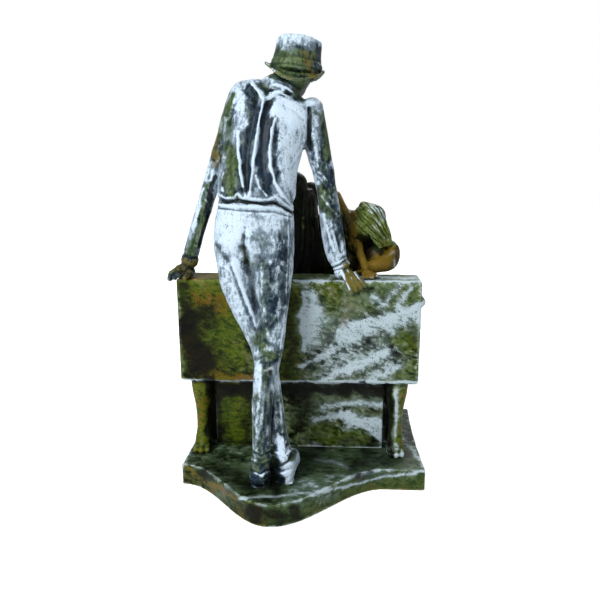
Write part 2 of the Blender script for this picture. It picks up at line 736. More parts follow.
def hat_crown(bm):
    lean = Vector((0.13, 0.06, 1.0)).normalized()
    crown = (
        (HAT - lean * 2, 17.0, 18.2), (HAT + lean * 4, 16.4, 17.6), (HAT + lean * 11, 15.4, 16.4),
        (HAT + lean * 17, 14.8, 15.8), (HAT + lean * 18.6, 14.0, 14.8), (HAT + lean * 19.4, 12.2, 13.2),
    )
    add_tube(bm, crown, sides=48, dome=0.03)
    band = ((HAT + lean * 0.6, 17.4, 18.7), (HAT + lean * 4.2, 17.0, 18.2))
    add_tube(bm, band, sides=48, dome=0.02)


def hand_on_rail(bm, palm, radii, turn, fingers, thumb):
    add_ball(bm, palm, radii, turn)
    for knuckle, middle, tip in fingers:
        finger(bm, knuckle, middle, tip, 1.9)
        add_ball(bm, knuckle, (2.1, 2.1, 2.1), sides=14)
    finger(bm, *thumb, 2.1)


def man_carving():
    bm = bmesh.new()
    shoe(bm, (-25.8, -60.4, 0), -2)
    shoe(bm, (-9.6, -55.2, 0), 4)
    for middle, turn in (((-25.8, -58.6, 9.6), 0), ((-10.4, -51.4, 11.0), 12)):
        lean = Vector((math.sin(math.radians(turn)), 0.16, -1.0))
        low = Vector(middle) + lean * 2.6
        add_tube(bm, ((middle, 7.0, 7.4), (low, 7.3, 7.7)), sides=28, dome=0.12)
    hat_crown(bm)
    hat_brim(bm)
    add_tube(bm, (((-31.0, -16, 182.8), 25.5, 17.7), ((-30.8, -15.8, 187.2), 25.1, 17.5)), sides=40)
    add_tube(bm, (((-16.6, 1.2, 255.6), 16.2, 12.4), ((-14.2, 2.4, 261.6), 13.6, 11.2)), sides=36)
    for cuff in (
        (((-80.8, 2, 145.4), 6.2, 6.5), ((-82.0, 1.8, 141.8), 6.1, 6.4)),
        (((-82.0, 1.8, 143), 4.4, 4.6), ((-84, 1.2, 137.5), 4.8, 4.8)),
        (((25.8, -0.8, 144.2), 6.3, 6.7), ((27.4, -1.4, 140.4), 6.2, 6.6)),
        (((26.6, -1, 142), 4.6, 4.8), ((29, -2.2, 136), 4.8, 5.0)),
    ):
        add_tube(bm, cuff)
    left = []
    for i in range(4):
        y = -5.8 + 3.7 * i
        left.append(((-88.3, y, 137.2), (-93.4, y * 1.05, 135.4), (-94.6, y * 1.05, 130.4)))
    thumb = ((-81, -4, 136), (-80.4, -8, 135.2), (-83, -11.0, 132.5))
    hand_on_rail(bm, (-85.0, 1.0, 136.2), (7.4, 6.8, 4.2), (0, 12, 0), left, thumb)
    add_ball(bm, (-88.6, -4.0, 133.6), (5.4, 5.4, 3.2), (0, -20, 0))
    add_ball(bm, (-82.4, -4.0, 134.2), (5.0, 5.2, 2.8))
    right = []
    for i in range(4):
        t = i / 3
        knuckle = Vector((29.5, -8.4, 134.8)).lerp(Vector((36.9, -4.2, 135.4)), t)
        middle = Vector((32.2, -11.0, 130.4)).lerp(Vector((41.0, -9.6, 132.4)), t)
        tip = Vector((34.6, -11.0, 123.4)).lerp(Vector((44.4, -11.0, 128.0)), t)
        right.append((knuckle, middle, tip))
    thumb = ((26, 2, 135), (30, 6, 134.6), (35, 8, 134))
    hand_on_rail(bm, (29.8, -2.8, 135.0), (7.6, 6.8, 4.6), (0, 18, 25), right, thumb)
    add_tube(bm, (((HEAD_X, 19.2, 273.6), 1.7, 1.8), ((HEAD_X, 21.8, 267.8), 2.3, 2.2)), sides=16)
    for side in (-1, 1):
        for (x, y, z), radii in NOSTRIL, EYELID, CHEEK, EAR:
            add_ball(bm, (HEAD_X + side * x, y, z), radii)
    for (y, z), radii in UPPER_LIP, LOWER_LIP, CHIN:
        add_ball(bm, (HEAD_X, y, z), radii)
    return shells_object("man_carving", bm)


# Ridges and grooves of his clothes, as (height in millimetres, half width and line in picture pixels)
BRACES = (
    (0.9, 1.5, (252, 84, 264.2, 100)), (0.9, 1.5, (282.5, 91, 264.2, 100)),
    (1.1, 1.6, (264.2, 100, 261.2, 112, 258.6, 126, 255.8, 145, 253, 165, 250.3, 182, 249, 196)),
)
SHIRT_FOLDS = (
    (1.3, 1.7, (275.5, 119, 272, 130, 269.8, 145, 270.5, 166, 274.6, 183, 283, 195, 291.4, 206.6)),
    (1.2, 1.7, (238.2, 132, 238.6, 152, 240, 170, 243.5, 187, 246, 196)),
    (1.0, 1.8, (226, 118, 224.2, 140, 223.4, 165, 223, 190)),
    (0.9, 1.5, (256, 176, 259.5, 187, 266.5, 195.5)),
    (-1.1, 3.4, (255, 92, 255.8, 108, 251.5, 128, 247.5, 150, 246, 172, 247, 190)),
    (-1.3, 4.2, (268, 104, 264.5, 122, 262, 142, 261.5, 162, 263.5, 184)),
    (-0.9, 3.0, (229.5, 124, 230, 146, 229.5, 168, 231, 188)),
    (-0.9, 2.6, (276.5, 132, 275, 150, 276.2, 166, 281, 180)),
    (-0.8, 2.4, (286, 182, 290.5, 192, 293.5, 200)),
    (-1.2, 1.7, (309.4, 108, 308.8, 122, 309.2, 136, 310.5, 150)),
    (0.7, 1.6, (296, 160, 300.5, 150, 304, 140)), (-0.7, 1.8, (293, 168, 298.5, 158, 303.5, 150)),
    (-0.9, 1.5, (233, 110, 229, 122, 225.5, 136, 222, 150)), (-0.7, 1.5, (244, 92, 237, 100, 232, 110)),
    (0.6, 2.2, (285, 100, 296, 104, 305, 112)), (-0.6, 1.6, (284, 106, 294, 110, 303, 120)),
)
HEM = (
    (1.1, 1.7, (220, 194, 226, 198.2, 233, 197, 238, 193.8, 243, 197.8, 251, 198.8, 260, 199.4, 269, 199.2,
        275, 196.5, 283, 202.5, 292, 209.5)),
    (-1.5, 1.5, (220, 199.5, 228, 202.6, 238, 200, 247, 202.8, 262, 203.6, 274, 202.2, 284, 207, 291, 212)),
    (0.5, 0.9, (219, 204.6, 236, 206.6, 255, 207.6, 274, 208, 290, 213)),
    (-0.7, 1.0, (219, 208.4, 236, 210.4, 255, 211.6, 274, 212, 291, 217)),
)
TROUSER_FOLDS = (
    (-1.3, 2.6, (244.5, 228, 243.6, 236, 243, 246, 246.5, 262)),
    (-0.8, 4.2, (243, 249, 236, 255, 228, 257)), (-0.8, 4.2, (243, 249, 253, 257, 264, 259)),
    (-0.6, 2.6, (246.5, 262, 250, 280, 255, 300, 261, 322, 264, 340)),
    (0.5, 0.9, (287.5, 214, 288.5, 240, 287, 270, 285.5, 300, 282.5, 330, 279, 355)),
    (0.8, 2.0, (236, 270, 244, 292, 252, 314, 259, 334)), (-0.6, 1.8, (229, 262, 238, 288, 248, 314)),
    (0.7, 1.8, (262, 268, 262.5, 290, 265, 312, 268, 334)),
    (-0.5, 2.2, (256, 345, 264, 341, 274, 346, 279, 352)), (0.6, 2.4, (257, 353, 265, 349, 275, 353)),
    (-0.5, 2.0, (256, 359, 266, 356, 276, 360)), (0.4, 2.0, (257, 368, 264, 371, 272, 368)),
    (0.7, 1.7, (261, 376, 259, 400, 257, 425, 257, 450)), (-0.6, 1.6, (268, 380, 266, 405, 264, 430)),
    (0.5, 1.4, (279, 400, 281.5, 420, 283, 440)), (-0.8, 1.5, (253, 452, 261, 456, 269, 452)),
    (0.7, 1.6, (252, 459, 261, 463, 269, 459)), (-0.9, 1.4, (251.5, 470, 260, 474.5, 268.5, 470)),
    (0.6, 1.3, (275, 452, 284, 456, 290, 451)),
)
SLEEVE_FOLDS = (
    (-0.7, 1.5, (214, 160, 210, 168, 208.5, 178)), (0.7, 1.5, (219, 158, 214.5, 168, 211.5, 180)),
    (-0.6, 1.4, (207, 190, 212, 196, 215, 204)), (0.6, 1.4, (204, 198, 209, 204, 211, 212)),
    (0.7, 1.6, (206, 214, 201, 230, 196.5, 246)), (-0.6, 1.4, (200, 216, 196, 232, 192, 248)),
    (-0.8, 1.2, (185, 255.5, 190, 258, 196, 258.5)), (-0.7, 1.8, (318, 128, 321, 144, 322.5, 160)),
    (0.7, 1.8, (313.5, 134, 316, 150, 318, 166)), (0.9, 1.8, (320, 172, 326, 180, 333, 188)),
    (-0.8, 1.7, (319, 180, 325, 189, 333, 197)), (0.8, 1.8, (322, 196, 329, 206, 337, 216)),
    (-0.7, 1.8, (327, 194, 332, 206, 335, 222)), (0.8, 2.0, (324, 214, 328, 232, 334, 250)),
    (-0.8, 1.7, (333, 222, 337, 238, 341, 252)), (0.7, 1.5, (339, 232, 342, 244, 344, 254)),
    (-1.0, 1.4, (331.5, 268, 340, 264.5, 348, 258.5)), (0.5, 1.0, (333.5, 272.5, 342, 269.5, 350, 262.5)),
)
NECK_FOLDS = (
    (0.8, 1.2, (270.5, 86, 277, 84.5, 286, 87.5, 292, 92)), (-0.9, 1.4, (271, 90, 280, 89, 290, 94.5)),
    (0.7, 1.1, (270, 93.5, 279, 92, 289, 97.5)),
)
# The plainer front of his shirt and trousers, as lines of (x, height) in the drawing
FRONT_FOLDS = (
    (0.9, 1.3, (-38, 186, -37, 205, -34.5, 228, -31, 250)),
    (0.9, 1.3, (-16, 186, -14, 205, -9, 228, -3, 248)),
    (0.5, 1.6, (-27.5, 188, -26, 210, -22, 232, -17, 252)),
    (-0.6, 0.5, (-25.4, 188, -23.9, 210, -19.9, 232, -15, 252)), (0.6, 0.9, (-27.2, 194)),
    (0.6, 0.9, (-26.2, 206)), (0.6, 0.9, (-24.6, 218)), (0.6, 0.9, (-22.2, 230)),
    (-1.0, 2.2, (-31.5, 160, -31, 150, -30.5, 138)), (-0.6, 0.7, (-31, 182, -31.3, 172, -31.5, 161)),
    (-0.7, 1.4, (-46, 178, -51, 166)), (-0.7, 1.4, (-16, 178, -11, 166)),
    (0.7, 1.6, (-48, 196, -44, 212, -42, 232)), (0.7, 1.6, (-6, 196, -6, 212, -3, 228)),
    (-0.7, 1.8, (-48, 150, -43, 128, -36, 104)), (-0.7, 1.8, (-16, 150, -16, 128, -16, 104)),
)
HAT_DENTS = (
    (-1.2, 4.5, (283, 54)), (-0.7, 5.0, (306, 60)), (0.6, 4.0, (294, 48)),
    (-0.9, 1.3, (272, 66.5, 283, 71.5, 298, 75.5, 312, 75, 320, 72)),
)


def shape_face(obj):
    """Lowered eyelids and a quiet mouth on his face."""
    strokes = []
    for side in (-1, 1):
        x, y, z = HEAD_X + side * EYE_APART, EYE_Y, EYE_HEIGHT
        strokes.append((-0.8, 2.3, (x, y, z)))
        lid = [(x + step, y + 0.2, z - 0.7 + 0.12 * step * step) for step in (-2.2, 0, 2.2)]
        strokes.append((0.9, 0.9, [(p[0], p[1], p[2] + 0.9) for p in lid]))
        strokes.append((-0.5, 0.5, lid))
    mouth = [(HEAD_X + step, EYE_Y + 0.6, EYE_HEIGHT - 8.6 + 0.04 * step * step) for step in (-3.2, 0, 3.2)]
    strokes.append((-0.7, 0.6, mouth))
    carve(obj, strokes)


def make_man():
    body = melt(man_body(), FIGURE_VOXEL * 1.5, 8)
    obj = join("man_casting", [body, man_carving()])
    melt(obj, FIGURE_VOXEL, 1)
    for strokes in (BRACES, SHIRT_FOLDS, HEM, TROUSER_FOLDS, SLEEVE_FOLDS, NECK_FOLDS, HAT_DENTS):
        press(obj, strokes)
    press_front(obj, FRONT_FOLDS)
    shape_face(obj)
    ripple(obj, 0.35, 9)
    ripple(obj, 0.14, 2.0, stretch=(0.8, 1, 1.8))
    thin_out(obj)
    keep_out(obj, (-120, -120, -60), (120, 120, GAP))
    low, high = BACK_BOX
    keep_out(obj, low, (high[0], BACK_REAR, high[2]))
    stay_in(obj, "man")
    return obj


# The woman

TENT = (
    ((-3.5, 58, 187), 11.5, 14.5), ((-5, 59, 170), 15.5, 17.0), ((-7, 59, 150), 20.0, 18.2),
    ((-10, 59, 130), 25.0, 19.2), ((-13, 58, 110), 31.0, 19.6), ((-14, 58, 104), 32.0, 19.8),
)
WOMAN_HEAD = Vector((48.0, 33.0, 169.6))


def woman_body():
    bm = bmesh.new()
    level = (0.0, -1.0, 0.0)
    turned = (0.42, -0.75, -0.5)
    shoulders = (0.64, -0.31, -0.71)
    torso = (
        ((-2, 62, 119), 16.0, 15.0, level), ((2, 61, 127), 16.0, 14.0, level),
        ((10, 59, 136), 13.6, 12.6, turned), ((19, 56, 144), 11.6, 10.6, turned),
        ((28, 52.5, 153), 13.6, 11.8, shoulders), ((34.5, 50, 160), 15.4, 12.0, shoulders),
        ((39.5, 48, 166.5), 16.0, 9.4, shoulders), ((42, 47, 170), 9.0, 6.6, shoulders),
    )
    add_tube(bm, torso, sides=32)
    for place, radii in (
        ((27.5, 44.5, 162.0), (7.6, 6.8, 7.6)), ((40.0, 39.0, 151.0), (7.6, 6.8, 7.6)),
        ((50.0, 38.0, 150.0), (9.0, 8.0, 9.0)), ((54.0, 28.5, 142.5), (9.0, 7.5, 9.5)),
    ):
        add_ball(bm, place, radii)
    add_tube(bm, (((40.5, 47, 169), 5.6, 5.6), ((44.5, 39, 169.5), 5.2, 5.2)), across=(0, 0, 1))
    high = (
        ((21.5, 57, 185.4), 5.8, 6.2), ((27.4, 50, 176.5), 4.8, 5.2), ((33.2, 41, 165.5), 4.2, 4.4),
        ((38.4, 28, 154.5), 4.0, 4.2), ((43.0, 14.5, 142.5), 3.0, 3.2), ((45.2, 7.5, 136.8), 2.8, 3.0),
    )
    low = (
        ((57.0, 39, 150.0), 6.6, 6.6), ((64.4, 34.5, 148.6), 6.2, 6.2), ((66.0, 28, 143.4), 6.0, 6.0),
        ((62.2, 20, 140.4), 6.4, 6.6), ((55.5, 14.8, 139.2), 5.8, 6.0), ((48.2, 12.2, 137.4), 4.2, 4.4),
    )
    add_tube(bm, high)
    add_tube(bm, low)
    for place, radii in (((-8.5, 52, 195.0), (9.6, 9.4, 9.8)), ((3.5, 65, 186.0), (9.8, 9.6, 10.2))):
        add_ball(bm, place, radii)
    add_tube(bm, TENT, sides=40)
    add_ball(bm, (13, 58, 133), (17, 17, 26))
    add_ball(bm, (36.5, 48, 130), (11, 11, 22))
    return shells_object("woman_casting", bm)


def gown_folds(bm):
    """Folds that run from the knees to the hem, and the feet that show under it."""
    folds = 19
    for i in range(folds):
        a = 2 * math.pi * i / folds + 0.2
        thick = 1.3 + 0.5 * math.sin(2.3 * i)
        stations = []
        for centre, wide, deep in TENT[1:5]:
            sway = 0.14 * math.sin(0.9 * i + centre[2] * 0.05)
            x = centre[0] + wide * 0.99 * math.cos(a + sway)
            y = centre[1] + deep * 0.99 * math.sin(a + sway)
            grow = 0.7 + 0.5 * (187 - centre[2]) / 77
            stations.append(((x, y, centre[2]), thick * grow, thick * grow))
        add_tube(bm, stations, sides=12)
    for place in ((-43.5, 51, 111.5), (-41.0, 63, 111.5)):
        add_ball(bm, place, (9.0, 4.2, 4.2))
        for i in range(4):
            toe = (place[0] - 8.6 + 0.5 * i, place[1] - 2.6 + 1.8 * i, place[2] - 1.4)
            add_ball(bm, toe, (1.5, 1.1, 1.3), sides=12)


def hair_strand(bm, start, bend, end, radius):
    stations = ((start, radius * 0.6), (bend, radius), (end, radius * 0.7))
    add_tube(bm, stations, across=(0, 1, 0), sides=10, steps=6)


def hair(bm):
    """Strands combed from the crown to the nape, and the loose fall of hair down to her shoulder."""
    crown = WOMAN_HEAD + Vector((-6.0, 4.5, 11.0))
    nape = WOMAN_HEAD + Vector((9.5, -5.5, -4.5))
    axis = (nape - crown).normalized()
    side = axis.cross(Vector((0, 1, 0))).normalized()
    up = side.cross(axis)
    strands = 28
    for i in range(strands):
        a = 2 * math.pi * i / strands
        out = side * math.cos(a) + up * math.sin(a)
        bend = WOMAN_HEAD + out * 12.6 + axis * 0.6
        if (bend - WOMAN_HEAD).dot(Vector((-0.45, -0.55, -0.62))) < 8.6:
            hair_strand(bm, crown + out * 3.0, bend, nape + out * 3.4, 1.0 + 0.25 * math.sin(3 * i))
    fall = (((53, 27, 171), 5.0), ((58.0, 27.0, 164), 4.6), ((61.4, 28, 156.5), 3.6), ((63.0, 30, 150), 2.2))
    add_tube(bm, fall, across=(0, 1, 0), sides=20, steps=5)
    add_ball(bm, (55.5, 29.0, 158.5), (7.0, 6.5, 8.5))
    for i in range(9):
        t = i / 8
        top = Vector((45.0, 20.8, 166.0)).lerp(Vector((59.5, 24.5, 171.5)), t)
        middle = Vector((49.5, 20.6, 159.0)).lerp(Vector((61.8, 23.5, 162.5)), t)
        end = Vector((56.0, 21.8, 150.5)).lerp(Vector((64.4, 26.5, 152.5)), t)
        hair_strand(bm, top, middle, end, 1.15 + 0.25 * math.sin(2.1 * i))


def woman_carving():
    bm = bmesh.new()
    add_ball(bm, WOMAN_HEAD, (12.9, 12.7, 12.9))
    add_ball(bm, (43.2, 27.4, 163.4), (9.6, 9.0, 10.4), (20, 20, 0))
    nose = Vector((38.4, 22.4, 160.6))
    add_ball(bm, nose, (2.0, 2.2, 2.6))
    for step in (-1, 1):
        eye = nose + Vector((2.2, 3.6, 3.6)) + Vector((0.66, -0.58, 0.1)) * 3.9 * step
        add_ball(bm, eye, (1.9, 1.9, 1.3))
    add_ball(bm, nose + Vector((0.9, 0.6, -4.6)), (2.2, 2.2, 0.9))
    add_ball(bm, nose + Vector((2.0, 1.6, -7.6)), (3.0, 3.0, 2.2))
    hair(bm)
    add_ball(bm, (46.4, 3.2, 134.6), (4.4, 5.4, 2.7))
    for i in range(4):
        x = 43.4 + 2.2 * i
        finger(bm, (x, 0.5, 134.8), (x - 0.3, -3.0, 134.6), (x - 0.6, -6.6, 133.6), 1.15)
    finger(bm, (50, 5, 134.4), (52, 2.5, 134.0), (53, -0.5, 133.6), 1.25)
    add_ball(bm, (45.4, 13.6, 135.4), (3.6, 3.6, 2.4))
    for i in range(4):
        y = 10.6 + 2.0 * i
        finger(bm, (43.6, y, 135.2), (40.6, y - 0.2, 134.8), (38.0, y - 0.6, 133.8), 1.1)
    gown_folds(bm)
    return shells_object("woman_carving", bm)


GOWN_LINES = (
    (0.7, 1.6, (304, 190, 303, 220, 302, 250, 301, 276)), (-0.8, 1.6, (311, 192, 311, 222, 311, 274)),
    (-0.6, 1.3, (341, 206, 346, 222, 349, 240)), (0.5, 1.2, (336, 214, 338, 236, 340, 258)),
)
HAIR_LINES = (
    (-0.6, 0.9, (357, 203, 366, 212, 377, 224, 387, 239)),
    (-0.6, 0.9, (363, 200.5, 373, 210, 381, 222, 389, 238)),
    (-0.6, 0.9, (370, 200, 379, 208, 385, 220, 390, 236)),
    (-0.6, 0.9, (353, 208, 361, 219, 372, 230, 383, 240)),
    (-0.5, 0.8, (351, 215, 357, 225, 367, 234, 379, 242)),
    (0.4, 0.9, (360, 202, 370, 212, 379, 224, 387, 236)),
    (0.4, 0.9, (355, 206, 364, 216, 374, 227, 384, 238)),
)


def make_woman():
    body = melt(woman_body(), WOMAN_VOXEL * 1.6, 8)
    obj = join("woman_casting", [body, woman_carving()])
    melt(obj, WOMAN_VOXEL, 1)
    press(obj, GOWN_LINES)
    press(obj, HAIR_LINES)
    ripple(obj, 0.3, 7)
    ripple(obj, 0.12, 1.8, stretch=(0.8, 1, 1.8))
    thin_out(obj)
    keep_out(obj, (-200, -120, -60), (200, BACK_REAR, LEG_HEIGHT))
    keep_out(obj, *BACK_BOX)
    keep_out(obj, (SETTEE_LEFT, BACK_REAR - 1, LEG_HEIGHT - 40),
             (SETTEE_RIGHT, SEAT_FRONT + 60, CUSHION_TOP + GAP))
    stay_in(obj, "woman")
    return obj


# Paint

def add_node(tree, kind, place, **values):
    node = tree.nodes.new(kind)
    node.location = place
    for name, value in values.items():
        setattr(node, name, value)
    return node


def patina_group():
    """Brushed paint over a dark ground: moss, gold and pale coats with ragged edges, worn to the high spots.

    Each coat shows where its amount, broken up by the brush grain, passes a half. The pale coat is
    a thin wash with thicker marks on it.
    """
    group = bpy.data.node_groups.new("brushed_patina", "ShaderNodeTree")
    face = group.interface
    for name in ("Ground", "Deep", "Moss", "Lime", "Gold", "Rust", "Pale", "Bright"):
        face.new_socket(name=name, in_out="INPUT", socket_type="NodeSocketColor")
    for name in ("Moss amount", "Gold amount", "Pale amount", "Dark amount", "Crest"):
        face.new_socket(name=name, in_out="INPUT", socket_type="NodeSocketFloat")
    face.new_socket(name="Stroke", in_out="INPUT", socket_type="NodeSocketVector")
    face.new_socket(name="Slant", in_out="INPUT", socket_type="NodeSocketVector")
    face.new_socket(name="Color", in_out="OUTPUT", socket_type="NodeSocketColor")
    face.new_socket(name="Roughness", in_out="OUTPUT", socket_type="NodeSocketFloat")
    face.new_socket(name="Height", in_out="OUTPUT", socket_type="NodeSocketFloat")
    enter = add_node(group, "NodeGroupInput", (-1600, 0))
    leave = add_node(group, "NodeGroupOutput", (1600, 0))
    links = group.links

    def grain(scale, detail, row, stroked=False, twist=0.0):
        node = add_node(group, "ShaderNodeTexNoise", (-900, row))
        node.inputs["Scale"].default_value = scale
        node.inputs["Detail"].default_value = detail
        node.inputs["Roughness"].default_value = 0.62
        node.inputs["Distortion"].default_value = twist
        links.new(stretched.outputs["Vector"] if stroked else place.outputs["Object"], node.inputs["Vector"])
        return node.outputs["Fac"]

    def maths(kind, a, b, row, column=-500):
        node = add_node(group, "ShaderNodeMath", (column, row), operation=kind)
        for socket, value in zip(node.inputs, (a, b)):
            if isinstance(value, (int, float)):
                socket.default_value = value
            else:
                links.new(value, socket)
        return node.outputs["Value"]

    def mingle(parts, row):
        """A weighted sum of grains."""
        total = None
        for value, weight in parts:
            share = maths("MULTIPLY", value, weight, row, -650)
            total = share if total is None else maths("ADD", total, share, row, -560)
        return total

    def coat_mask(amount, brush, gain, crest_gain, row, soft, most=1.0):
        """Smooth step of the amount, the brush grain and the crest round a half."""
        broken = maths("MULTIPLY", maths("SUBTRACT", brush, 0.5, row), gain, row, -350)
        proud = maths("SUBTRACT", enter.outputs["Crest"], 0.5, row - 40)
        raised = maths("MULTIPLY", proud, crest_gain, row - 40, -350)
        level = maths("ADD", maths("ADD", amount, broken, row, -200), raised, row, -50)
        node = add_node(group, "ShaderNodeMapRange", (100, row), interpolation_type="SMOOTHSTEP")
        node.inputs["From Min"].default_value = 0.5 - soft
        node.inputs["From Max"].default_value = 0.5 + soft
        node.inputs["To Max"].default_value = most
        links.new(level, node.inputs["Value"])
        return node.outputs["Result"]

    def blend(a, b, mask, row, column=500):
        node = add_node(group, "ShaderNodeMix", (column, row), data_type="RGBA")
        links.new(mask, node.inputs[0])
        links.new(a, node.inputs[6])
        links.new(b, node.inputs[7])
        return node.outputs[2]

    place = add_node(group, "ShaderNodeTexCoord", (-1600, 400))
    stretched = add_node(group, "ShaderNodeMapping", (-1300, 300), vector_type="TEXTURE")
    links.new(place.outputs["Object"], stretched.inputs["Vector"])
    links.new(enter.outputs["Stroke"], stretched.inputs["Scale"])
    links.new(enter.outputs["Slant"], stretched.inputs["Rotation"])
    cloud = grain(48, 4, 900, twist=0.4)
    clump = grain(150, 6, 700, twist=0.8)
    brush = grain(330, 8, 500, stroked=True, twist=0.5)
    fine = grain(1100, 5, 300)
    fleck = grain(2300, 3, 100)
    blotch = mingle(((cloud, 0.45), (clump, 0.35), (brush, 0.2)), 900)
    mixed = mingle(((clump, 0.3), (brush, 0.42), (fine, 0.28)), 500)
    speck = mingle(((brush, 0.35), (fine, 0.35), (fleck, 0.3)), 300)

    tone = enter.outputs
    ground = blend(tone["Deep"], tone["Ground"], coat_mask(0.5, mixed, 3.0, 0.4, 900, 0.35), 900)
    moss = blend(tone["Moss"], tone["Lime"], coat_mask(0.44, mixed, 3.0, 0.6, 760, 0.32), 760)
    moss_mask = coat_mask(tone["Moss amount"], blotch, 2.6, 0.3, 620, 0.24, 0.92)
    shade = blend(ground, moss, moss_mask, 620, 700)
    gold = blend(tone["Gold"], tone["Rust"], coat_mask(0.42, blotch, 3.0, 0.1, 480, 0.3), 480)
    gold_mask = coat_mask(tone["Gold amount"], mixed, 2.8, 0.3, 340, 0.22, 0.9)
    shade = blend(shade, gold, gold_mask, 340, 900)
    wash_mask = coat_mask(tone["Pale amount"], blotch, 2.0, 0.25, 200, 0.3, 0.72)
    shade = blend(shade, tone["Pale"], wash_mask, 200, 1000)
    thick = maths("SUBTRACT", tone["Pale amount"], 0.13, 60, -500)
    pale_mask = coat_mask(thick, mixed, 2.9, 0.8, 60, 0.17, 0.9)
    shade = blend(shade, tone["Bright"], pale_mask, 60, 1100)
    pit_mask = coat_mask(0.19, speck, 4.2, -0.5, -20, 0.1, 0.8)
    shade = blend(shade, tone["Deep"], pit_mask, -20, 1200)
    dark_mask = coat_mask(tone["Dark amount"], mixed, 2.6, -0.5, -80, 0.2, 0.93)
    shade = blend(shade, tone["Deep"], dark_mask, -80, 1300)
    links.new(shade, leave.inputs["Color"])
    rough = add_node(group, "ShaderNodeMapRange", (900, -300))
    rough.inputs["From Min"].default_value = 0.3
    rough.inputs["From Max"].default_value = 0.7
    rough.inputs["To Min"].default_value = 0.30
    rough.inputs["To Max"].default_value = 0.52
    links.new(mixed, rough.inputs["Value"])
    links.new(rough.outputs["Result"], leave.inputs["Roughness"])
    paint = maths("MULTIPLY", pale_mask, 0.3, -420)
    relief = mingle(((mixed, 1.0), (fleck, 0.2)), -460)
    links.new(maths("ADD", relief, paint, -460, -150), leave.inputs["Height"])
    return group


TONES = {
    "Ground": (0.005, 0.008, 0.001), "Deep": (0.0006, 0.001, 0.0004), "Moss": (0.016, 0.034, 0.002),
    "Lime": (0.145, 0.205, 0.015), "Gold": (0.11, 0.095, 0.005), "Rust": (0.16, 0.058, 0.004),
    "Pale": (0.15, 0.21, 0.20), "Bright": (0.43, 0.53, 0.585),
}
# Each piece's own tones, where they aren't the usual ones
PIECE_TONES = {
    "base": {"Ground": (0.005, 0.012, 0.008), "Pale": (0.10, 0.155, 0.13), "Moss": (0.016, 0.035, 0.010),
             "Lime": (0.095, 0.145, 0.032)},
    "settee": {},
    "man": {"Ground": (0.024, 0.050, 0.092), "Deep": (0.002, 0.005, 0.006), "Moss": (0.03, 0.055, 0.018),
            "Lime": (0.13, 0.18, 0.08), "Pale": (0.27, 0.355, 0.45), "Bright": (0.56, 0.69, 0.81),
            "Gold": (0.13, 0.11, 0.02), "Rust": (0.15, 0.10, 0.02)},
    "woman": {"Ground": (0.008, 0.008, 0.002), "Deep": (0.0012, 0.0016, 0.0008), "Pale": (0.20, 0.24, 0.15),
              "Moss": (0.032, 0.045, 0.008), "Gold": (0.13, 0.088, 0.008), "Rust": (0.19, 0.105, 0.012),
              "Lime": (0.17, 0.24, 0.04)},
}


def patina(name, group, stroke, slant, depth, tones):
    """One piece's paint: the shared brushed patina with the piece's own tones and brush direction."""
    material = bpy.data.materials.new(name)
    material.use_nodes = True
    tree = material.node_tree
    shader = tree.nodes["Principled BSDF"]
    coats = add_node(tree, "ShaderNodeGroup", (-400, 0), node_tree=group)
    for tone, value in {**TONES, **tones}.items():
        coats.inputs[tone].default_value = (*value, 1.0)
    coats.inputs["Stroke"].default_value = stroke
    coats.inputs["Slant"].default_value = [math.radians(a) for a in slant]
    for row, paint in enumerate(("moss", "gold", "pale", "dark", "crest")):
        amount = add_node(tree, "ShaderNodeAttribute", (-800, -200 * row), attribute_name=paint)
        socket = "Crest" if paint == "crest" else paint.capitalize() + " amount"
        tree.links.new(amount.outputs["Fac"], coats.inputs[socket])
    bump = add_node(tree, "ShaderNodeBump", (-150, -300))
    bump.inputs["Strength"].default_value = 0.5
    bump.inputs["Distance"].default_value = depth * MM
    tree.links.new(coats.outputs["Height"], bump.inputs["Height"])
    tree.links.new(bump.outputs["Normal"], shader.inputs["Normal"])
    tree.links.new(coats.outputs["Color"], shader.inputs["Base Color"])
    tree.links.new(coats.outputs["Roughness"], shader.inputs["Roughness"])
    shader.inputs["Specular IOR Level"].default_value = 0.11
    return material


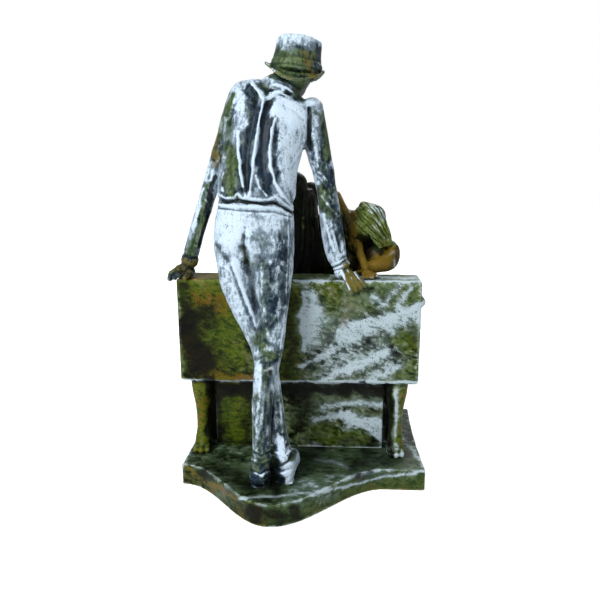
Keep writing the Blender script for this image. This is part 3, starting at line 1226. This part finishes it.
# Where the brush laid more or less of each paint, as (amount, half width and line in picture pixels)
BAND_LEFT = ((247.5, 134), (246.5, 160), (247.5, 188))
BAND_HIGH = ((253, 90), (253.5, 106), (251.5, 126))
BAND_RIGHT = ((266, 106), (263.5, 140), (262.5, 165), (266, 190))
MAN_PAINT = {
    "pale": (
        (-0.85, 5.4, BAND_LEFT), (-0.6, 4.8, BAND_HIGH), (-0.85, 5.6, BAND_RIGHT),
        (0.7, 1.5, (264.2, 100, 258.6, 126, 253, 165, 249, 196)), (0.8, 2.0, (252, 84, 264.2, 100)),
        (0.9, 2.0, (282.5, 90, 264.2, 100)), (-0.7, 2.8, (261, 86, 266, 93)),
        (-0.5, 2.4, (273, 100, 268, 106)), (-0.5, 3.0, (229, 108, 234, 95)),
        (-0.4, 3.0, (246, 88, 250, 92)), (-0.4, 2.2, (288, 91, 296, 92, 300, 95)),
        (0.5, 1.4, (272, 130, 269.8, 145, 270.5, 166, 274.6, 183, 283, 195)),
        (0.5, 1.4, (238.4, 132, 238.6, 152, 240, 170, 243.5, 187)), (-0.24, 3.4, (275.5, 128, 275.5, 180)),
        (-0.4, 4.0, (230, 121, 230, 145)), (-0.62, 7.0, (230, 150, 232, 190)),
        (-0.15, 6.0, (284, 138, 298, 140)), (0.4, 7.0, (281.6, 112)), (0.22, 12.0, (291, 112, 294, 175)),
        (0.2, 10.0, (276, 98, 292, 106)), (0.15, 6.0, (242, 96, 238, 110)),
        (-0.42, 9.0, (316, 116, 326, 180, 338, 236)), (0.3, 3.0, (316, 118, 320, 160)),
        (0.25, 3.4, (328, 196, 336, 244)), (-0.5, 3.2, (326.5, 112, 327, 158)),
        (-0.2, 6.0, (322, 190, 330, 214)), (-0.5, 5.5, (216.5, 137, 214.5, 163)),
        (-0.3, 7.0, (223, 112, 219, 132)), (-0.42, 6.0, (207, 186, 200, 222, 192, 250)),
        (0.45, 2.0, (203, 190, 194, 226)), (-1.4, 9.0, (168, 270, 190, 263)), (-1.4, 9.0, (186, 276)),
        (-1.2, 10.0, (350, 275, 360, 288)), (1.0, 1.0, (341, 271, 346, 281, 350, 289)),
        (0.9, 0.9, (347, 270, 352, 278, 355, 285)), (0.9, 0.9, (352, 270, 358, 277, 361, 282)),
        (0.5, 1.1, (219, 204.9, 236, 206.9, 255, 208, 274, 208.4, 290, 213.4)),
        (-0.5, 6.5, (242, 245, 246, 264)), (0.34, 9.0, (229, 224, 236, 232)),
        (-0.3, 3.0, (218, 246, 226, 258)), (-0.22, 5.0, (254, 236, 268, 246)),
        (0.16, 15.0, (232, 230, 238, 250)), (0.12, 12.0, (268, 222, 272, 240)),
        (-0.34, 9.0, (264, 266, 270, 300, 268, 334)), (-0.26, 6.0, (284, 226, 284, 300)),
        (-0.2, 8.0, (248, 288, 256, 330)), (-0.16, 8.0, (262, 232, 276, 250)),
        (0.3, 2.6, (236, 262, 246, 296, 256, 326)), (-0.3, 7.0, (260, 340, 272, 356)),
        (-0.42, 10.0, (264, 366, 262, 420, 262, 466)), (0.22, 4.0, (256, 366, 257, 392)),
        (0.3, 2.4, (258, 366, 262, 400, 259, 440)), (-0.2, 7.0, (280, 400, 286, 440)),
        (-0.25, 7.0, (268, 88, 288, 93)), (0.4, 1.5, (272, 84, 286, 87, 294, 93)),
        (0.02, 6.0, (280, 38, 296, 36, 312, 40)), (-0.75, 9.5, (283, 59, 314, 59)),
        (0.6, 4.0, (285, 52, 286, 60)), (-0.4, 8.0, (290, 62, 316, 58)),
        (-0.6, 3.4, (266, 66, 273, 74, 290, 80, 308, 80, 322, 72)), (-0.3, 8.0, (308, 52, 308, 70)),
        (-0.45, 4.5, (270, 69, 284, 75, 300, 78, 318, 75)), (0.3, 1.2, (267, 64, 275, 71)),
        (-0.9, 5.0, (300, 82, 303, 90, 302, 96)), (-0.7, 9.0, (252, 482, 268, 486)),
        (-0.35, 7.0, (252, 464, 268, 466)), (0.6, 1.5, (254, 484, 256, 490)),
        (0.6, 1.5, (264, 484, 265, 490)), (-0.4, 5.0, (274, 460, 278, 480)),
        (0.3, 1.6, (280, 436, 283, 452)), (0.8, 2.6, (292, 466, 288, 480)),
        (0.7, 1.1, (299, 446, 299, 458, 294, 470)), (-0.7, 3.0, (296, 449, 292, 458)),
        (0.6, 1.4, (256, 472, 262, 475, 267, 471)), (0.4, 3.0, (279, 440, 281, 456)),
    ),
    "moss": (
        (-0.3, 6.0, BAND_LEFT), (-0.3, 6.0, BAND_RIGHT), (0.5, 3.0, (229, 108, 234, 95)),
        (0.4, 7.0, (229, 156, 232, 190)), (0.25, 8.0, (286, 136, 296, 138)),
        (0.45, 3.0, (326.5, 112, 327, 158)), (0.2, 7.0, (322, 190, 330, 214)),
        (0.3, 7.0, (223, 112, 219, 132)), (0.3, 6.0, (207, 186, 192, 250)),
        (0.3, 10.0, (346, 272, 356, 284)), (0.3, 4.0, (236, 200, 262, 203, 288, 212)),
        (0.3, 7.0, (258, 342, 270, 356)), (0.15, 8.0, (256, 380, 254, 440)),
        (0.2, 7.0, (280, 400, 286, 440)), (0.25, 9.0, (275, 90, 288, 92)), (0.35, 9.0, (283, 60, 298, 60)),
        (0.3, 5.0, (270, 69, 318, 76)), (0.3, 5.0, (300, 84, 303, 94)), (0.3, 3.0, (296, 452, 288, 466)),
    ),
    "gold": (
        (0.3, 4.0, (237, 95)), (0.45, 5.5, (216.5, 137, 214.5, 163)), (0.45, 8.0, (170, 268, 190, 262)),
        (0.4, 8.0, (186, 276)), (0.6, 11.0, (348, 272, 358, 284)), (0.3, 6.0, (243, 248, 246, 262)),
        (0.2, 7.0, (268, 372, 264, 400)), (0.4, 8.0, (308, 52, 308, 70)),
        (0.25, 4.0, (270, 69, 284, 75, 300, 78, 318, 75)),
    ),
    "dark": (
        (0.1, 5.0, BAND_LEFT), (0.16, 5.0, BAND_RIGHT), (0.3, 2.4, (262, 87, 266, 93)),
        (0.8, 2.2, (309.8, 109, 309.2, 128, 310.4, 150)), (0.8, 3.4, (214, 178, 208.5, 210, 200, 246)),
        (0.3, 7.0, (168, 270, 186, 266)), (0.35, 5.0, (172, 278, 182, 275, 198, 271)),
        (0.62, 2.3, (220, 201.5, 238, 202, 262, 204.6, 276, 204, 292, 213)),
        (0.25, 5.0, (243.6, 236, 243, 252, 247.5, 270)), (0.2, 3.0, (252, 270, 258, 320)),
        (0.2, 5.0, (256, 350, 262, 358)), (0.5, 2.8, (270, 372, 272, 430, 270, 462)),
        (0.2, 5.0, (266, 84, 270, 92)), (0.2, 9.0, (296, 64, 314, 60)), (0.4, 2.5, (287, 47)),
        (0.4, 3.0, (300, 77, 304, 78)), (0.4, 5.0, (300, 86, 306, 90)), (0.6, 7.0, (250, 482, 268, 488)),
        (0.9, 6.0, (272, 474, 276, 488)), (0.9, 3.6, (277, 462, 279, 474, 281, 488)),
        (0.5, 2.6, (286, 420, 288, 440, 292, 448)), (0.75, 2.0, (298, 445, 293, 452, 289, 460, 282, 466)),
    ),
}
SETTEE_PAINT = {
    "pale": (
        (-0.3, 24.0, (190, 290, 190, 370)), (-0.2, 18.0, (230, 290, 230, 370)),
        (-0.3, 8.0, (291, 296, 290, 374)), (0.55, 9.0, (311, 296, 310, 336)),
        (0.4, 2.4, (303, 292, 303, 350)), (0.34, 8.5, (340, 338, 382, 323, 424, 312)),
        (0.26, 3.0, (338, 330, 424, 306)), (0.12, 30.0, (330, 340, 400, 330)),
        (0.35, 4.0, (372, 297, 379, 304)), (0.3, 3.0, (384, 304, 400, 286)),
        (0.3, 3.0, (398, 306, 412, 288)), (-0.1, 8.0, (402, 338, 418, 344)),
        (0.3, 3.0, (302, 366, 334, 350)), (0.3, 3.0, (322, 380, 356, 362)),
        (0.34, 4.0, (350, 372, 386, 352)), (0.3, 3.6, (362, 384, 398, 366)),
        (0.2, 14.0, (330, 366, 384, 362)), (0.8, 1.1, (181, 379.8, 250, 381.8, 421, 382.6)),
        (0.22, 2.0, (178, 290, 181, 340, 183, 372)), (0.4, 1.4, (296, 280, 424, 281)),
        (0.6, 1.6, (330, 276, 420, 278)), (-0.4, 9.0, (199, 396, 198, 452)),
        (0.5, 1.3, (192, 396, 196, 420, 194, 446)), (-0.35, 6.0, (407, 396, 406, 450)),
        (0.5, 1.6, (396, 392, 396, 410)), (0.3, 1.4, (396, 410, 396, 436)),
        (0.4, 2.4, (397, 446, 402, 456)), (0.25, 8.0, (352, 424, 376, 430)),
        (-0.2, 16.0, (236, 400, 236, 440)), (0.35, 3.0, (322, 408, 352, 402, 384, 406)),
        (0.42, 4.0, (316, 420, 350, 414, 382, 424)), (0.3, 3.0, (340, 412, 384, 440)),
        (0.38, 3.0, (310, 446, 350, 452, 386, 448)),
    ),
    "moss": (
        (0.3, 9.0, (196, 284, 230, 288)), (0.35, 9.0, (196, 326, 214, 336)),
        (0.5, 10.0, (232, 296, 231, 352)), (-0.15, 14.0, (190, 320, 196, 366)),
        (0.2, 9.0, (292, 290, 291, 374)), (0.4, 14.0, (330, 290, 356, 306)),
        (0.4, 13.0, (388, 286, 416, 296)), (0.55, 8.0, (402, 338, 418, 344)),
        (0.35, 9.0, (392, 374, 416, 366)), (0.3, 3.0, (186, 273, 424, 278)),
        (0.6, 9.0, (199, 396, 198, 452)), (0.5, 7.0, (406, 396, 404, 450)),
        (0.4, 6.0, (400, 396, 400, 446)), (0.55, 11.0, (234, 408, 236, 430)),
        (0.45, 9.0, (316, 434, 356, 436)),
    ),
    "gold": (
        (0.3, 10.0, (204, 298, 222, 306)), (0.2, 12.0, (192, 342, 206, 364)),
        (0.6, 5.0, (214, 377, 252, 380)), (0.1, 8.0, (291, 300, 290, 374)),
        (0.15, 12.0, (330, 292, 352, 312)), (0.3, 6.0, (338, 330, 346, 322)),
        (0.35, 3.0, (186, 273, 250, 274)), (0.5, 2.0, (178, 277, 232, 276)),
        (0.16, 9.0, (199, 396, 198, 452)), (0.2, 6.0, (406, 396, 404, 450)),
    ),
    "dark": (
        (0.42, 17.0, (186, 330, 206, 366)), (0.3, 8.0, (182, 284, 190, 320)),
        (0.3, 10.0, (204, 312, 216, 324)), (0.36, 8.0, (291, 300, 290, 374)),
        (0.25, 8.0, (414, 334, 424, 346)), (0.15, 8.0, (402, 400, 402, 450)),
        (0.9, 5.5, (213, 384, 213, 458)), (0.9, 3.6, (389, 386, 389, 456)),
        (0.6, 6.0, (216, 388, 250, 388, 384, 390)), (0.25, 12.0, (222, 400, 222, 440)),
        (0.3, 8.0, (248, 396, 248, 450)), (0.3, 10.0, (300, 396, 302, 420)),
        (0.5, 5.0, (220, 448, 250, 452)), (0.5, 7.0, (366, 392, 384, 396)),
        (0.25, 6.0, (340, 440, 376, 444)),
    ),
}
BASE_PAINT = {
    "pale": (
        (0.4, 3.0, (316, 460, 348, 466)), (0.3, 8.0, (296, 482, 322, 490)),
        (0.5, 1.6, (426, 471, 380, 478, 320, 492, 240, 499)), (0.2, 9.0, (302, 506, 328, 504)),
        (0.35, 2.4, (396, 430, 424, 466)),
        (-0.32, 9.0, (190, 490, 216, 508, 262, 520, 310, 510, 360, 494, 424, 486)),
        (0.3, 2.0, (182, 462, 194, 440)), (0.25, 3.0, (330, 478, 390, 470)),
    ),
    "moss": (
        (0.15, 60.0, (150, 476, 420, 470)), (0.3, 14.0, (336, 500, 390, 488)),
        (0.5, 8.0, (412, 484, 426, 486)), (0.3, 10.0, (300, 512, 350, 500, 424, 486)),
    ),
    "gold": (
        (0.6, 2.4, (182, 464, 210, 484, 238, 498)), (0.3, 9.0, (184, 484, 214, 508)),
        (0.2, 10.0, (190, 490, 216, 508, 262, 520)), (0.12, 8.0, (320, 508, 360, 496, 420, 488)),
    ),
    "dark": (
        (0.45, 10.0, (262, 514, 284, 516)), (0.35, 7.0, (224, 506, 236, 514)),
        (0.4, 12.0, (210, 470, 246, 478)), (0.35, 10.0, (300, 462, 330, 470)),
        (0.4, 5.0, (250, 508, 254, 520)), (0.4, 6.0, (296, 508, 300, 518)),
        (0.3, 5.0, (344, 500, 348, 506)), (0.3, 14.0, (360, 470, 396, 462)),
        (0.9, 6.0, (272, 472, 276, 488)), (0.3, 10.0, (236, 484, 262, 494)),
        (0.35, 12.0, (300, 452, 350, 458, 384, 456)),
    ),
}
WOMAN_PAINT = {
    "pale": (
        (0.5, 7.0, (372, 207, 382, 218)), (0.3, 1.4, (374, 226, 388, 240)),
        (0.5, 1.8, (394, 260, 396, 274)), (-0.4, 26.0, (308, 186, 306, 260)),
    ),
    "moss": (
        (0.8, 15.0, (362, 212, 376, 226)), (0.3, 5.0, (376, 228, 388, 240)), (0.4, 5.0, (392, 244)),
    ),
    "gold": (
        (0.7, 5.0, (336, 190, 345, 202, 352, 218, 357, 236, 362, 254, 370, 276)),
        (-0.5, 15.0, (364, 210, 376, 226)), (0.8, 9.0, (370, 262, 384, 258, 378, 270)),
        (0.5, 5.0, (392, 250)), (-0.4, 24.0, (308, 186, 306, 260)),
    ),
    "dark": (
        (-0.3, 5.0, (336, 190, 345, 202, 352, 218, 357, 236, 362, 254, 370, 276)),
        (-0.14, 13.0, (366, 212, 378, 224)), (0.5, 6.0, (360, 232, 370, 244, 378, 250)),
        (0.9, 5.0, (364, 240, 366, 254)), (-0.4, 9.0, (372, 262, 382, 258)),
        (0.5, 26.0, (308, 186, 306, 260)),
    ),
}

# How much of each paint there is where no brush mark says otherwise, and the reach of each piece's crests
FINISHES = {
    "base": ({"moss": 0.46, "gold": 0.22, "pale": 0.36, "dark": 0.22}, BASE_PAINT, 5, 0.3),
    "settee": ({"moss": 0.48, "gold": 0.27, "pale": 0.35, "dark": 0.23}, SETTEE_PAINT, 5, 0.3),
    "man": ({"moss": 0.44, "gold": 0.12, "pale": 0.66, "dark": 0.1}, MAN_PAINT, 10, 0.42),
    "woman": ({"moss": 0.34, "gold": 0.34, "pale": 0.16, "dark": 0.24}, WOMAN_PAINT, 10, 0.35),
}
# Each piece's brush marks: their stretch along each axis, their slant in degrees and their relief in mm
BRUSHES = {
    "base": ((2.2, 1.4, 1.0), (0, 0, 12), 0.4), "settee": ((2.4, 1.0, 0.9), (0, 24, 0), 0.4),
    "man": ((0.8, 1.0, 1.9), (0, 8, 0), 0.3), "woman": ((0.9, 1.0, 1.6), (0, -20, 0), 0.3),
}


# The studio: the light from all round, how much whiter the floor looks than it is lit, and each
# lamp's place and size in metres and its power in watts
SKY_LIGHT = 0.4
FLOOR_GLOW = 0.62
LIGHTS = {
    "key_light": ((-0.6, -0.85, 1.0), 0.45, 17.0), "fill_light": ((0.95, -0.7, 0.5), 0.7, 1.6),
    "back_light": ((0.3, 0.9, 0.9), 0.6, 5.0),
}


def make_floor():
    deselect()
    bpy.ops.mesh.primitive_plane_add(size=8.0, location=(0, 0, 0))
    floor = bpy.context.active_object
    floor.name = "studio_floor"
    paint = bpy.data.materials.new("studio_floor")
    paint.use_nodes = True
    shader = paint.node_tree.nodes["Principled BSDF"]
    shader.inputs["Base Color"].default_value = (0.93, 0.93, 0.93, 1.0)
    shader.inputs["Roughness"].default_value = 0.9
    shader.inputs["Emission Color"].default_value = (1.0, 1.0, 1.0, 1.0)
    rays = paint.node_tree.nodes.new("ShaderNodeLightPath")
    glow = paint.node_tree.nodes.new("ShaderNodeMath")
    glow.operation = "MULTIPLY"
    glow.inputs[1].default_value = FLOOR_GLOW
    paint.node_tree.links.new(rays.outputs["Is Camera Ray"], glow.inputs[0])
    paint.node_tree.links.new(glow.outputs["Value"], shader.inputs["Emission Strength"])
    floor.data.materials.append(paint)


def make_camera():
    data = bpy.data.cameras.new("studio_camera")
    data.sensor_width = 36.0
    data.lens = FOCAL / PICTURE * data.sensor_width
    data.clip_start = 0.01
    data.clip_end = 30.0
    camera = bpy.data.objects.new("studio_camera", data)
    turn = Matrix((CAMERA_RIGHT, CAMERA_UP, CAMERA_BACK)).transposed().to_4x4()
    camera.matrix_world = Matrix.Translation(TO_FRAME @ CAMERA_PLACE) @ turn
    bpy.context.scene.collection.objects.link(camera)
    bpy.context.scene.camera = camera


def make_light(name, place, size, power):
    data = bpy.data.lights.new(name, "AREA")
    data.shape = "DISK"
    data.size = size
    data.energy = power
    light = bpy.data.objects.new(name, data)
    aim = Vector((0, 0, 0.15)) - Vector(place)
    light.location = place
    light.rotation_euler = aim.to_track_quat("-Z", "Y").to_euler()
    bpy.context.scene.collection.objects.link(light)


def make_studio():
    make_floor()
    make_camera()
    for name, lamp in LIGHTS.items():
        make_light(name, *lamp)
    world = bpy.data.worlds.new("studio_world")
    world.use_nodes = True
    tree = world.node_tree
    sky = tree.nodes["Background"]
    sky.inputs["Color"].default_value = (1.0, 1.0, 1.0, 1.0)
    rays = tree.nodes.new("ShaderNodeLightPath")
    strength = tree.nodes.new("ShaderNodeMapRange")
    strength.inputs["To Min"].default_value = SKY_LIGHT
    strength.inputs["To Max"].default_value = 1.0
    tree.links.new(rays.outputs["Is Camera Ray"], strength.inputs["Value"])
    tree.links.new(strength.outputs["Result"], sky.inputs["Strength"])
    bpy.context.scene.world = world
    bpy.context.scene.view_settings.view_transform = "Standard"


group = patina_group()
makers = {"base": make_base, "settee": make_settee, "man": make_man, "woman": make_woman}
for node, make in makers.items():
    piece = make()
    coat(piece, *FINISHES[node])
    piece.data.materials.clear()
    piece.data.materials.append(patina(node + "_patina", group, *BRUSHES[node], PIECE_TONES[node]))
    pick(piece)
    bpy.ops.object.shade_smooth()
    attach(piece, "root")
    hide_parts(node)
deselect()
make_studio()
